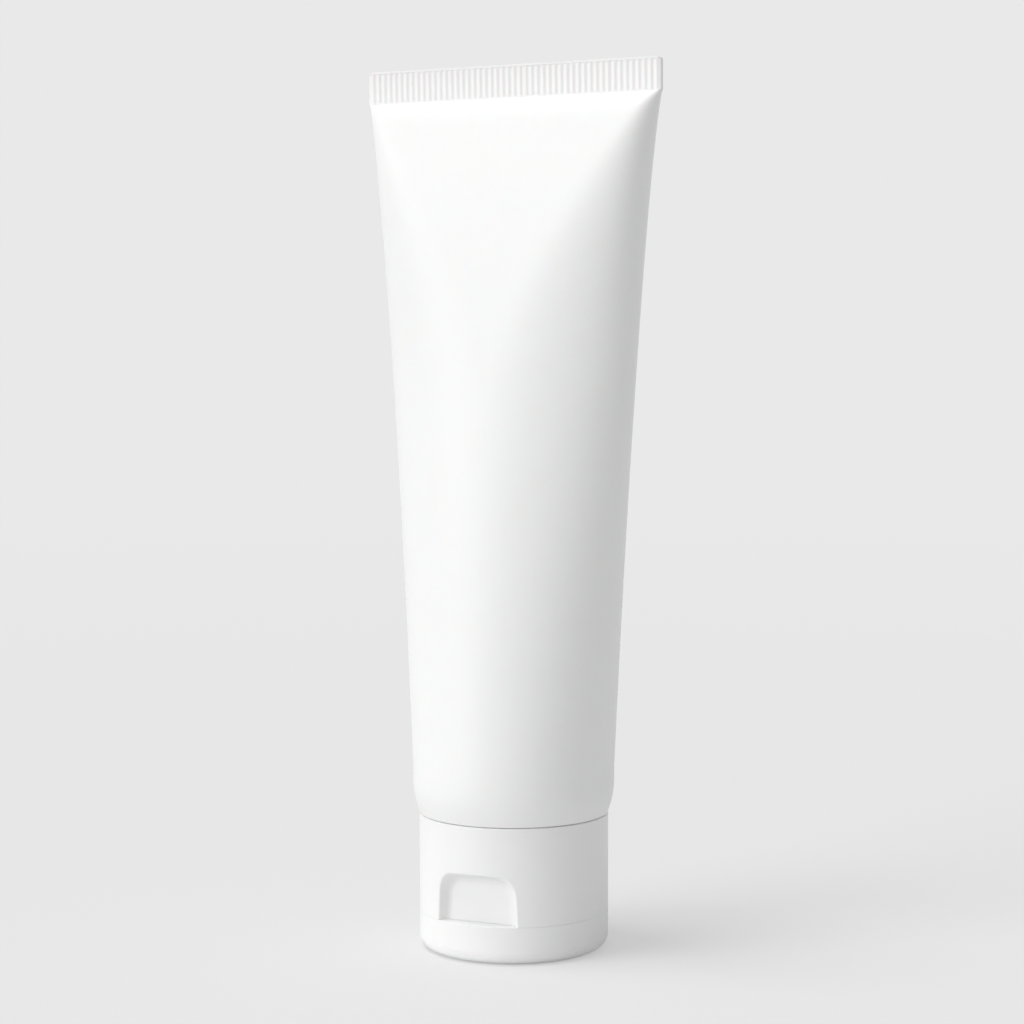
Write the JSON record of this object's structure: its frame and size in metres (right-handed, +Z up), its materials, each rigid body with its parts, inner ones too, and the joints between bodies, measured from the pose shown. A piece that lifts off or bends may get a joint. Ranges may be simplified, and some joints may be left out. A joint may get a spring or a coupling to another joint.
{
  "type": "denture adhesive tube",
  "caption": "Squeeze tube of denture adhesive with a flat ribbed end seal, standing on a flip-top cap with a thumb recess and a hinged lid that opens over a small spout.",
  "frame": {"origin": "middle of the lid's foot ring, on the surface that the tube stands on", "axes": "+Z up the tube to the end seal, the flat end seal runs along X, the thumb recess faces -Y and the lid's hinge is at +Y"},
  "size_m": [0.0474, 0.03, 0.1305],
  "materials": {
    "sleeve_film": "satin white polyethylene film",
    "head_plastic": "natural white moulded polyethylene",
    "paste": "soft pale pink cream",
    "cap_plastic": "smooth white moulded polypropylene, satin"
  },
  "bodies": {
    "tube": {"sleeve": "sleeve_film", "tube_head": "head_plastic", "adhesive_paste": "paste", "cap_body": "cap_plastic", "hinge_strap": "cap_plastic"},
    "lid": {"flip_lid": "cap_plastic"}
  },
  "joints": [
    {"name": "lid_hinge", "type": "hinge", "parent": "tube", "child": "lid", "pos_m": [0, 0.01335, 0.00566], "axis": [1, 0, 0], "range_deg": [0, 150], "deforming": ["hinge_strap"]}
  ]
}
